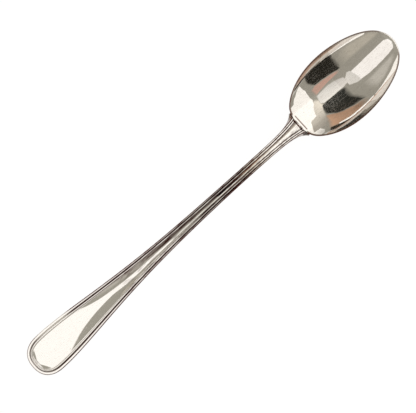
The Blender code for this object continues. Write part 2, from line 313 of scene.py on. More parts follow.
handleSpec = {
    "end": handleLow.x,
    "width": handleHigh.y - handleLow.y,
    "endRound": 0.0066,         # length of the rounded end
    "endSquareness": 2.35,      # 2 is an ellipse
    "taperStart": 0.0080,
    "taperLength": 0.0277,
    "taperShape": 1.58,
    "stemWidth": 0.00295,
    "neckWidth": 0.0050,        # threaded face at the bowl
    "neckFlare": 0.0042,
    "shoulderWidth": 0.0078,    # body of the neck below the face
    "shoulderFlare": 0.0016,
    "tongueLength": 0.0072,     # drop under the heel of the bowl
    "seamGap": 0.00002,         # solder line at the bowl
    "endLift": 0.00008,
    "archHeight": 0.01381,
    "archToSeam": 0.0293,
    "stemFall": 0.75,           # share of the way down to the end that an even curve takes
    "endBend": 4,               # higher keeps the rest of it nearer to the end
    "neckBend": 1.5,            # higher keeps the bend nearer to the bowl
    "archSoftness": 0.07,       # share of the way to the bowl in which the arch's top is rounded
    "endThickness": 0.0015,
    "stemThickness": 0.0024,
    "endEdge": 0.0009,          # side wall
    "stemEdge": 0.0013,
    "tongueEdge": 0.0002,
    "tongueSwell": 0.0004,
    "neckFillet": 0.0012,
    "edgeRadius": 0.0003,       # lower edge of the side wall
    "edgeLimit": 0.45,          # and its largest share of the wall's height
    "outerThread": 0.00090,
    "innerThread": 0.00060,
    "stemOuter": 0.57,          # share of the outer thread's width on the stem
    "stemInner": 0.95,
    "threadFlatness": 3.5,      # 2 rounds the threads, more flattens their crests
    "grooveDepth": 0.00016,
    "threadTilt": 0.18,         # outward slope of the inner thread's crest on the wide part
    "edgeDrop": 0.00025,
    "edgeRoll": 0.5,            # place on the outer thread where it starts to roll over
    "panelCrown": 0.00058,
    "leftDome": (1.5, 1.3, 3.0),    # the crown's power on the +Y side: wide part, stem and neck
    "rightDome": (1.4, 4.0, 3.5),   # and on the -Y side; 2 is a parabola, less makes the ridge sharper
    "ridgeZone": (-0.036, -0.025),  # from the wide part's power to the stem's
    "endCrown": 0.4,            # share of the crown at the wide end
    "crownGrowth": 0.0267,      # length in which it grows to its full height
    "crownReach": 0.0008,
    "panelRise": 0.0007,        # length in which the panel rises at the rounded end
    "crossGroove": 0.00027,     # groove across the neck, before the seam
    "crossWidth": 0.00019,
    "grimeWidth": 0.00027,      # half width of the tarnish in a groove
    "stemGrime": 0.78,          # its share on the stem
    "neckGrime": 0.5,           # and at the neck
    "neckFrom": (0.018, 0.012),     # where the neck starts and is full, from the seam
    "edgeReflectionWidth": 0.00029,       # half width of the painted dark reflection line along the outer edge
    "neckEdge": 0.6,            # its share at the neck
    "endLineShare": 0.8,            # share of both widths at the rounded end
    "endZone": (-0.056, -0.043),
    "panelGrime": 0.2,          # tarnish beside the wide end's panel, against that between the threads
    "litSideShare": (0.25, 0.7),   # its share on the -Y side, painted lighter as the lit side: on the wide part and on the stem
    "litSideZone": (-0.012, -0.004),
    "endReflection": 0.45,            # painted dark reflection on the panel beside its groove at the rounded end
    "endReflectionWidth": (0.0010, 0.0004),
    "wedgeShadeDepth": 0.72,         # painted shade on the stem's panel, on the +Y side
    "wedgePlace": (0.1, 0.6),   # across the panel, 1 at its groove
    "wedgeFrom": (-0.040, -0.012),
    "wedgeTo": (0.020, 0.009),
    "endStations": 80,
    "shaftStations": 240,
    "neckStations": 150,
    "seamStations": 30,
    "tongueStations": 40,
    "neckZone": 0.031,          # lengths with closer stations, before the seam
    "seamZone": 0.0010,
    "panelLines": 14,
    "threadLines": 16,
    "wallLines": 5,
    "edgeLines": 6,
    "bellyLines": 12,
}
handleSpec["seam"] = bowlSpec["heel"]


def taper(x):
    # 1 at the wide end, falling to 0 along the stem as exp(-(distance / length) to a power)
    beyond = np.maximum(x - handleSpec["end"] - handleSpec["taperStart"], 0.0) / handleSpec["taperLength"]
    return np.exp(-beyond ** handleSpec["taperShape"])


def endRounding(x):
    # superellipse: 0 at the very end, 1 where the rounding is over
    power = handleSpec["endSquareness"]
    inside = np.clip(1 - (x - handleSpec["end"]) / handleSpec["endRound"], 0.0, 1.0)
    return (1 - inside ** power) ** (1 / power)


def tongueRounding(x):
    # quarter ellipse: 1 up to the seam, 0 at the tip of the tongue
    return np.sqrt(1 - np.clip((x - handleSpec["seam"]) / handleSpec["tongueLength"], 0.0, 1.0) ** 2)


def flare(x, length):
    # 1 from the seam on, and before it exp(-distance / length)
    return np.exp(-np.maximum(handleSpec["seam"] - x, 0.0) / length)


def faceHalfWidth(x):
    # half the threaded face: the stem's width, widened by the taper and the neck's flare, round at both ends
    spec = handleSpec
    width = blendTo(spec["stemWidth"], spec["width"], taper(x))
    width = width + (spec["neckWidth"] - spec["stemWidth"]) * flare(x, spec["neckFlare"])
    return width / 2 * endRounding(x) * tongueRounding(x)


def bodyHalfWidth(x):
    # the face and the shoulders of the neck, which stand out below it
    spread = (handleSpec["shoulderWidth"] - handleSpec["neckWidth"]) / 2
    return faceHalfWidth(x) + spread * flare(x, handleSpec["shoulderFlare"]) * tongueRounding(x)


def faceHeight(x):
    # crests of the threads: up from the bent end with the square and a higher power of the distance from the
    # arch's top, and down to the lip with another power, soft at the top and level past the seam
    spec = handleSpec
    top = spec["seam"] - spec["archToSeam"]
    before = np.maximum(top - x, 0.0) / (top - spec["end"])
    after = np.clip((x - top) / spec["archToSeam"], 0.0, 1.0)
    climb = spec["archHeight"] - spec["endEdge"] - spec["endLift"]
    fall = spec["archHeight"] - rimHeight(bowlSpec["heel"]) - bowlSpec["lipCrown"]
    bent = blendTo(before ** spec["endBend"], before ** 2, spec["stemFall"])
    start = spec["archSoftness"] ** spec["neckBend"]
    sunk = np.hypot(after, spec["archSoftness"]) ** spec["neckBend"] - start
    whole = np.hypot(1.0, spec["archSoftness"]) ** spec["neckBend"] - start
    return spec["archHeight"] - climb * bent - fall * sunk / whole


def seatHeight(x, y):
    # underside of the bowl with the solder line; no limit outside the bowl's outline
    gap = handleSpec["seamGap"]
    return undersideHeight(x, bowlGauge(x, y, -gap)) - gap


def inwardNormals(x, y):
    # unit normals of the half outline, towards the middle line
    alongX, alongY = np.gradient(x), np.gradient(y)
    length = np.hypot(alongX, alongY)
    normalX, normalY = alongY / length, -alongX / length
    normalX[[0, -1]] = 1.0, -1.0
    normalY[[0, -1]] = 0.0
    return normalX, normalY


def handleStations():
    # places along the handle, close at the rounded end, at the seam and at the tip of the tongue
    spec = handleSpec
    end = spec["end"] + spec["endRound"] * (1 - np.cos(np.linspace(0.0, math.pi / 2, spec["endStations"])))
    shaft = np.linspace(end[-1], spec["seam"] - spec["neckZone"], spec["shaftStations"])[1:]
    neck = np.linspace(shaft[-1], spec["seam"] - spec["seamZone"], spec["neckStations"])[1:]
    seam = np.linspace(neck[-1], spec["seam"], spec["seamStations"])[1:]
    turn = np.linspace(0.0, math.pi / 2, spec["tongueStations"])
    tongue = spec["seam"] + spec["tongueLength"] * np.sin(turn)
    tongue[0] += spec["seamGap"]
    return np.concatenate((end, shaft, neck, seam, tongue))


def onNeck(x):
    # 0 on the stem, 1 on the neck
    start, full = handleSpec["neckFrom"]
    return fade(handleSpec["seam"] - start, handleSpec["seam"] - full, x)


def endLineShare(x):
    # share of the lines' widths, less at the rounded end
    return blendTo(handleSpec["endLineShare"], 1.0, fade(*handleSpec["endZone"], x))


def grooveGrime(x):
    # half width of the tarnish, narrower at the rounded end, on the stem and at the neck
    stem = blendTo(handleSpec["stemGrime"], 1.0, taper(x))
    return handleSpec["grimeWidth"] * blendTo(stem, handleSpec["neckGrime"], onNeck(x)) * endLineShare(x)


def panelGrime(x, distance):
    # the line of tarnish beside the panel, fainter on the wide part
    share = blendTo(1.0, handleSpec["panelGrime"], np.sqrt(taper(x)))
    return share * grimeAndShadeLine(distance, grooveGrime(x))


def threadLines(x, edge):
    # two flat-topped threads beside the edge: lines at a distance from the outline along its normal; a thread
    # drops with a power of the place across it, the inner one slopes outwards and the outer one rolls over
    # as a quarter ellipse
    spec = handleSpec
    normalX, normalY = inwardNormals(x, edge)
    inner = spec["innerThread"] * blendTo(spec["stemInner"], 1.0, taper(x)) * tongueRounding(x)
    outer = spec["outerThread"] * blendTo(spec["stemOuter"], 1.0, taper(x)) * tongueRounding(x)
    place = np.sin(np.linspace(-math.pi / 2, math.pi / 2, spec["threadLines"] + 1))[:, None]
    roll = np.clip((place - spec["edgeRoll"]) / (1 - spec["edgeRoll"]), 0.0, 1.0)
    rolled = spec["edgeDrop"] * (1 - np.sqrt(1 - roll ** 2))
    valley = spec["grooveDepth"] * np.abs(place) ** spec["threadFlatness"]
    acrossInner = np.concatenate(((1 + place[:-1]) / 2, np.ones_like(place)))
    lower = spec["threadTilt"] * taper(x) * inner * acrossInner
    drop = lower + np.concatenate((valley[:-1], np.where(place > 0, rolled, valley)))
    fromPanel = np.concatenate(((1 + place[:-1]) / 2 * inner, inner + (1 + place) / 2 * outer))
    fromMiddle = fromPanel - inner
    fromEdge = outer - fromMiddle
    lineX = x + normalX * fromEdge
    lineY = np.maximum(edge + normalY * fromEdge, 0.0)
    # the line along the outer edge is a painted dark reflection; the line in the groove is tarnish
    edgeReflectionWidth = spec["edgeReflectionWidth"] * blendTo(1.0, spec["neckEdge"], onNeck(x)) * endLineShare(x)
    grimeAndShade = np.maximum(grimeAndShadeLine(fromMiddle, grooveGrime(x)), grimeAndShadeLine(fromEdge, edgeReflectionWidth))
    beside = panelGrime(x, fromPanel)
    side = np.concatenate((0 * place[:-1], roll ** 2)) + 0 * x
    return lineX, lineY, faceHeight(lineX) - drop, grimeAndShade, beside, side


def panelLines(x, halfWidth):
    # domed panel: crown times 1 - the place across it to the power of its side, rising from the groove at the
    # rounded end; the lean is half the difference of the two sides
    spec = handleSpec
    share = np.linspace(0.0, 1.0, spec["panelLines"] + 1)[:-1, None]
    rise = 1 - (1 - np.clip((x - x[0]) / spec["panelRise"], 0.0, 1.0)) ** 2
    grown = np.sqrt(np.clip((x - spec["end"]) / spec["crownGrowth"], 0.0, 1.0))
    crown = spec["panelCrown"] * blendTo(spec["endCrown"], 1.0, grown) * rise
    crown = crown * (1 - np.exp(-(halfWidth / spec["crownReach"]) ** 2))
    onStem = fade(*spec["ridgeZone"], x)
    left, right = [crown * (1 - share ** blendTo(blendTo(wide, stem, onStem), neck, onNeck(x)))
                   for wide, stem, neck in (spec["leftDome"], spec["rightDome"])]
    z = faceHeight(x) - spec["grooveDepth"] + (left + right) / 2
    # painted shade: a wedge on the stem's panel, on the +Y half only
    wedgeShade = fade(*spec["wedgePlace"], share) * fade(*spec["wedgeFrom"], x) * fade(*spec["wedgeTo"], x)
    # painted dark reflection beside the groove at the rounded end
    endReflection = spec["endReflection"] * fade(*spec["endReflectionWidth"], x - x[0])
    beside = np.maximum(panelGrime(x, (1 - share) * halfWidth), endReflection)
    return x + 0 * share, halfWidth * share, z, (right - left) / 2, beside, wedgeShade * spec["wedgeShadeDepth"]


def crossGroove(x, y, z, grimeAndShade, reach):
    # groove that ends the panel and the inner threads just before the bowl
    spec = handleSpec
    valley = grimeAndShadeLine(x - spec["seam"] + spec["crossGroove"], spec["crossWidth"])
    valley = valley * fade(reach + spec["crossWidth"], reach, np.abs(y)) * (x <= spec["seam"])
    return z - spec["grooveDepth"] * valley, np.maximum(grimeAndShade, valley)


def bellyHeight(x, y, share):
    # underside: the stem's belly and the tongue under the bowl, the lower of the two with a fillet between
    spec = handleSpec
    edge = blendTo(spec["stemEdge"], spec["endEdge"], taper(x))
    swell = blendTo(spec["stemThickness"], spec["endThickness"], taper(x)) - edge
    hump = 1 - share ** 2
    stem = faceHeight(x) - edge - swell * endRounding(x) * tongueRounding(x) * hump
    tongue = seatHeight(x, y) - spec["tongueEdge"] - spec["tongueSwell"] * hump * tongueRounding(x)
    mix = np.maximum(spec["neckFillet"] - np.abs(stem - tongue), 0.0) / spec["neckFillet"]
    return np.maximum(np.minimum(stem, tongue) - mix ** 2 * spec["neckFillet"] / 4, 0.0)


def handleHalf():
    # half a section at every station: panel, threads, side wall, rounded lower edge and belly
    spec = handleSpec
    x = handleStations()
    edge, body = faceHalfWidth(x), bodyHalfWidth(x)
    threadX, threadY, threadZ, threadGrimeAndShade, threadBeside, threadSide = threadLines(x, edge)
    panelX, panelY, panelZ, panelLean, panelBeside, wedgeShade = panelLines(threadX[0], threadY[0])
    topX = np.concatenate((panelX, threadX))
    topY = np.concatenate((panelY, threadY))
    topZ = np.concatenate((panelZ, threadZ))
    reach = threadY[spec["threadLines"]]
    topZ, topGrimeAndShade = crossGroove(topX, topY, topZ, np.concatenate((0 * panelX, threadGrimeAndShade)), reach)
    topZ = np.where(x > spec["seam"], np.minimum(topZ, seatHeight(topX, topY)), topZ)
    bottom = bellyHeight(x, body, 1.0)
    radius = np.minimum(spec["edgeRadius"], np.maximum(topZ[-1] - bottom, 0.0) * spec["edgeLimit"])
    down = np.linspace(0.0, 1.0, spec["wallLines"] + 1)[1:, None]
    wallX, wallY = x + 0 * down, blendTo(edge, body, down)
    wallZ = blendTo(topZ[-1], bottom + radius, down)
    turn = quarterTurn(spec["edgeLines"])[:, None]
    normalX, normalY = inwardNormals(x, body)
    edgeX = x + normalX * radius * (1 - np.cos(turn))
    edgeY = np.maximum(body + normalY * radius * (1 - np.cos(turn)), 0.0)
    edgeZ = bellyHeight(edgeX, edgeY, 1.0) + radius * (1 - np.sin(turn))
    share = np.linspace(1.0, 0.0, spec["bellyLines"] + 1)[1:, None]
    bellyX, bellyY = edgeX[-1] + 0 * share, edgeY[-1] * share
    bellyZ = bellyHeight(bellyX, bellyY, share)
    points = np.stack([np.concatenate(parts) for parts in (
        (topX, wallX, edgeX, bellyX), (topY, wallY, edgeY, bellyY), (topZ, wallZ, edgeZ, bellyZ))], -1)
    outsideAndGreyReflection = np.ones_like(points[..., 0])
    outsideAndGreyReflection[:len(panelX)] = 0.0
    outsideAndGreyReflection[len(panelX):len(topX)] = threadSide
    beside = np.concatenate((panelBeside, threadBeside))
    # the -Y half's tarnish beside the panel is painted lighter, as the side the light falls on
    litSide = blendTo(*spec["litSideShare"], fade(*spec["litSideZone"], x))
    grimeAndShade, wipedAndLitSide = np.zeros_like(outsideAndGreyReflection), np.zeros_like(outsideAndGreyReflection)
    grimeAndShade[:len(topX)] = np.maximum(topGrimeAndShade, beside)
    grimeAndShade[:len(panelX)] = np.maximum(grimeAndShade[:len(panelX)], wedgeShade)
    wipedAndLitSide[:len(topX)] = np.maximum(topGrimeAndShade, beside * litSide)
    lean = np.zeros_like(points)
    lean[:len(panelX), :, 2] = panelLean * (x <= spec["seam"])
    return points, lean, outsideAndGreyReflection, grimeAndShade, wipedAndLitSide


def bothHalves(half, other):
    # the section's lines down one side and back up the other
    return np.concatenate((half, other[-2:0:-1]))


def makeHandle():
    points, lean, outsideAndGreyReflection, grimeAndShade, wipedAndLitSide = handleHalf()
    loop = bothHalves(points - lean, (points + lean) * np.array([1.0, -1.0, 1.0]))
    lines, stations = loop.shape[:2]
    grid = np.swapaxes(loop, 0, 1).reshape(-1, 3)
    attributes = {"outsideAndGreyReflection": bothHalves(outsideAndGreyReflection, outsideAndGreyReflection).T, "grooveTarnishAndPaintedShade": bothHalves(grimeAndShade, wipedAndLitSide).T}
    return addPiece("silver_handle", grid, gridFaces(stations, lines, True).tolist(), attributes)


class Wire:
    # an output socket of a node; arithmetic on wires adds Math nodes
    def __init__(self, tree, socket=None):
        self.tree = tree
        self.socket = socket

    def add(self, kind, settings=None, sockets=None, output=0):
        node = self.tree.nodes.new(kind)
        for key, value in (settings or {}).items():
            setattr(node, key, value)
        for key, value in (sockets or {}).items():
            if isinstance(value, Wire):
                self.tree.links.new(value.socket, node.inputs[key])
            else:
                node.inputs[key].default_value = value
        return Wire(self.tree, node.outputs[output] if node.outputs else None)

    def maths(self, operation, first, second=0.0):
        return self.add("ShaderNodeMath", {"operation": operation}, {0: first, 1: second})

    def __add__(self, other):
        return self.maths("ADD", self, other)

    def __mul__(self, other):
        return self.maths("MULTIPLY", self, other)

    def __sub__(self, other):
        return self.maths("SUBTRACT", self, other)

    def __rsub__(self, other):
        return self.maths("SUBTRACT", other, self)

    __radd__ = __add__
    __rmul__ = __mul__

    def band(self, low, high):
        # 0 below low, 1 above high, smooth between
        return self.add("ShaderNodeMapRange", {"interpolation_type": "SMOOTHSTEP"},
                        {"Value": self, "From Min": low, "From Max": high})


def newTree(owner):
    owner.use_nodes = True
    owner.node_tree.nodes.clear()
    return Wire(owner.node_tree)


millimetres = 1000.0    # in a metre
micrometre = 1e-6
white = (1.0, 1.0, 1.0, 1.0)
black = (0.0, 0.0, 0.0, 1.0)


def noise(tree, place, scale, detail=2.0):
    return tree.add("ShaderNodeTexNoise", None, {"Vector": place, "Scale": scale, "Detail": detail})


def mixColours(tree, share, first, second, clamped=True):
    return tree.add("ShaderNodeMix", {"data_type": "RGBA", "clamp_factor": clamped},
                    {0: share, 6: first, 7: second}, output=2)


def streaks(tree, place, turn, length, width):
    # noise stretched along one direction across the spoon's plan
    stretched = tree.add("ShaderNodeMapping", None, {
        "Vector": place,
        "Rotation": (0.0, 0.0, math.radians(turn)),
        "Scale": (1 / length, 1 / width, 1 / width)})
    return noise(tree, stretched, 1.0)


def scratches(tree, place, spec):
    # hairlines: only the ridges of some layers of streaks
    layers = [streaks(tree, place, *layer).band(*spec["hairRidge"]) for layer in spec["hairs"]]
    hairs = layers[0]
    for layer in layers[1:]:
        hairs = tree.maths("MAXIMUM", hairs, layer)
    return hairs


silverSpec = {
    "edgeTint": (0.35, 0.30, 0.28, 1.0),    # at a grazing angle
    "polish": 0.03,
    "hazeRoughness": 0.45,
    "cloudDetail": 4.0,
    "speckDetail": 3.0,
    "dentDetail": 0.0,
    "speckClouds": (0.35, 0.6),     # specks only in some patches
    "speckHaze": 0.25,
    "filmRidge": (0.4, 0.7),
    "grooveMottle": (0.6, 0.8),     # least share of the tarnish, and what the clouds add to it
    "outsideLeast": 0.5,
    "rubbedOutside": 0.9,           # tarnish that use takes off
}


def silverFinish(name, own):
    # silver that turns to tarnish in grooves, on the outside, in films and in scratches, less where use has
    # rubbed it bright; the same darkening carries painted dark reflections and painted shade, and a painted
    # brown reflection; a share of its light is scattered by scratches and specks
    spec = silverSpec | own
    material = bpy.data.materials.new(name)
    tree = newTree(material)
    coordinates = tree.add("ShaderNodeTexCoord", output="Object")
    place = tree.add("ShaderNodeVectorMath", {"operation": "SCALE"}, {0: coordinates, "Scale": millimetres})
    grooveTarnishAndPaintedShade = tree.add("ShaderNodeAttribute", {"attribute_name": "grooveTarnishAndPaintedShade"}, output="Fac")
    outsideAndGreyReflection = tree.add("ShaderNodeAttribute", {"attribute_name": "outsideAndGreyReflection"}, output="Fac")
    x = tree.add("ShaderNodeSeparateXYZ", None, {0: place}, output="X")
    y = tree.add("ShaderNodeSeparateXYZ", None, {0: place}, output="Y")
    cloud = noise(tree, place, spec["cloudScale"], spec["cloudDetail"])
    speck = noise(tree, place, spec["speckScale"], spec["speckDetail"])
    dents = noise(tree, place, spec["dentScale"], spec["dentDetail"])
    hairs = scratches(tree, place, spec)
    film = streaks(tree, place, *spec["film"]).band(*spec["filmRidge"])
    rubbed = x.band(*spec["rubbedFrom"]) * x.band(*spec["rubbedTo"]) * y.band(*spec["rubbedSide"])
    kept = 1 - rubbed * spec["rubbedGroove"]
    if "wipedAndLitSide" in spec:
        kept = kept * (1 - x.band(*spec["wipedEnd"]) * spec["wipedAndLitSide"])
    grooveLeast, grooveClouds = spec["grooveMottle"]
    # tarnish in grooves, in the same attribute as the painted dark edge reflections, painted shade and the
    # lit side painted lighter
    tarnishAndPaintedShade = grooveTarnishAndPaintedShade * spec["grooveTarnishAndShade"] * (grooveLeast + cloud * grooveClouds) * kept
    # on the bowl's lip and wall this is a painted grey reflection; elsewhere tarnish on the outside
    outsideTarnishAndGreyReflection = outsideAndGreyReflection * (spec["outsideLeast"] + cloud) * spec["outsideTarnishAndReflection"]
    tarnishAndPaintedShade = tarnishAndPaintedShade + outsideTarnishAndGreyReflection * (1 - rubbed * spec["rubbedOutside"])
    tarnishAndPaintedShade = tarnishAndPaintedShade + film * x.band(*spec["filmFrom"]) * spec["filmTarnish"] + hairs * spec["hairTarnish"]
    tarnishAndPaintedShade = tree.maths("MINIMUM", tarnishAndPaintedShade, 1.0)
    silver = (*spec["silver"], 1.0)
    # painted brown reflection on the bowl's lip
    if "brownReflection" in spec:
        brownReflection = tree.add("ShaderNodeAttribute", {"attribute_name": "brownReflection"}, output="Fac")
        silver = mixColours(tree, brownReflection, silver, (*spec["brownReflection"], 1.0))
    # the tarnish colour also paints the shade and dark reflections
    colour = mixColours(tree, tarnishAndPaintedShade, silver, (*spec["tarnishAndShadeColour"], 1.0))
    specks = speck.band(*spec["speckRidge"]) * cloud.band(*spec["speckClouds"])
    specks = specks * x.band(*spec["speckFrom"]) * x.band(*spec["speckTo"])
    haze = spec["haze"] + tree.maths("MAXIMUM", hairs * spec["hairHaze"], specks * spec["speckHaze"])
    if "wornHaze" in spec:
        haze = haze + x.band(*spec["wornFrom"]) * spec["wornHaze"]
    haze = tree.maths("MINIMUM", haze + outsideAndGreyReflection * spec["outsideHaze"], 1.0)
    height = cloud * spec["waviness"] + dents * spec["dentDepth"]
    bump = tree.add("ShaderNodeBump", None, {"Height": height, "Distance": micrometre, "Strength": 1.0})
    polished, hazy = [tree.add("ShaderNodeBsdfPrincipled", None, {
        "Base Color": colour,
        "Roughness": roughness,
        "Metallic": 1.0,
        "Specular Tint": spec["edgeTint"],
        "Normal": bump}) for roughness in (spec["polish"], spec["hazeRoughness"])]
    shader = tree.add("ShaderNodeMixShader", None, {0: haze, 1: polished, 2: hazy})
    tree.add("ShaderNodeOutputMaterial", None, {"Surface": shader})
    return material


bowlFinish = {
    "silver": (0.955, 0.93, 0.882),
    "tarnishAndShadeColour": (0.13, 0.062, 0.038),
    "brownReflection": (0.70, 0.37, 0.23),    # painted brown reflection on the lip
    "cloudScale": 0.10,         # per millimetre
    "speckScale": 3.0,
    "speckRidge": (0.5, 0.62),
    "speckFrom": (37.0, 42.0),  # millimetres along the spoon
    "speckTo": (54.0, 46.0),
    "hairs": [(4.0, 6.0, 0.25), (-14.0, 5.0, 0.22),     # turn, length and width
              (24.0, 4.0, 0.22), (80.0, 2.5, 0.2)],
    "hairRidge": (0.62, 0.70),
    "hairHaze": 0.20,
    "hairTarnish": 0.08,
    "film": (6.0, 3.0, 0.5),    # turn, length and width of its streaks
    "filmTarnish": 0.05,
    "filmFrom": (25.0, 30.0),
    "haze": 0.03,               # share of the light that fine scratches scatter
    "wornFrom": (46.0, 54.0),   # the front of the bowl, dulled by use
    "wornHaze": 0.04,
    "outsideHaze": 0.0,
    "waviness": 5.0,            # micrometres
    "dentScale": 0.7,
    "dentDepth": 7.0,
    "grooveTarnishAndShade": 0.95,
    "outsideTarnishAndReflection": 0.5,
    "rubbedFrom": (46.0, 54.0),     # the front, kept bright by use
    "rubbedTo": (80.0, 70.0),
    "rubbedSide": (-20.0, -15.0),   # across its whole width
    "rubbedGroove": 0.0,
}

handleFinish = {
    "silver": (0.93, 0.905, 0.86),
    "tarnishAndShadeColour": (0.085, 0.022, 0.018),
    "cloudScale": 0.18,
    "speckScale": 2.5,
    "speckRidge": (0.6, 0.7),
    "speckFrom": (-62.0, -60.0),
    "speckTo": (-20.0, -26.0),
    "hairs": [(3.0, 6.0, 0.22), (-25.0, 4.0, 0.2), (52.0, 3.0, 0.2)],
    "hairRidge": (0.63, 0.70),
    "hairHaze": 0.25,
    "hairTarnish": 0.06,
    "film": (4.0, 3.0, 0.5),
    "filmTarnish": 0.4,
    "filmFrom": (-36.0, -28.0),
    "haze": 0.04,
    "outsideHaze": 0.5,
    "waviness": 2.0,
    "dentScale": 0.5,
    "dentDepth": 5.0,
    "grooveTarnishAndShade": 1.0,
    "outsideTarnishAndReflection": 0.4,
    "rubbedFrom": (-62.0, -56.0),   # the wide end's +Y side, kept bright by use
    "rubbedTo": (-45.0, -50.0),
    "rubbedSide": (-1.5, 1.5),
    "rubbedGroove": 0.9,
    "wipedEnd": (-58.0, -63.0),     # the very end is cleaner all round
    "wipedAndLitSide": 0.45,
}


stageSpec = {
    "cardDistance": 1.5,
    "floorSize": 6.0,
    "floorGap": 0.00002,
    "floorColour": 0.85,
    "floorLift": 0.8,           # share of the floor's own white for the camera and for reflections
    "floorGlow": 1.15,
    "cardStep": 0.01,           # each card lies this much behind the one before
    "cardSoftness": 0.03,       # for cards that give none
    "domeRadius": 2.5,
    "domeGrid": (31, 120),
    "zenith": (0.355, 0.338, 0.293),
    "horizon": (0.97, 0.96, 0.94),
    "horizonBand": (0.02, 0.11),
}

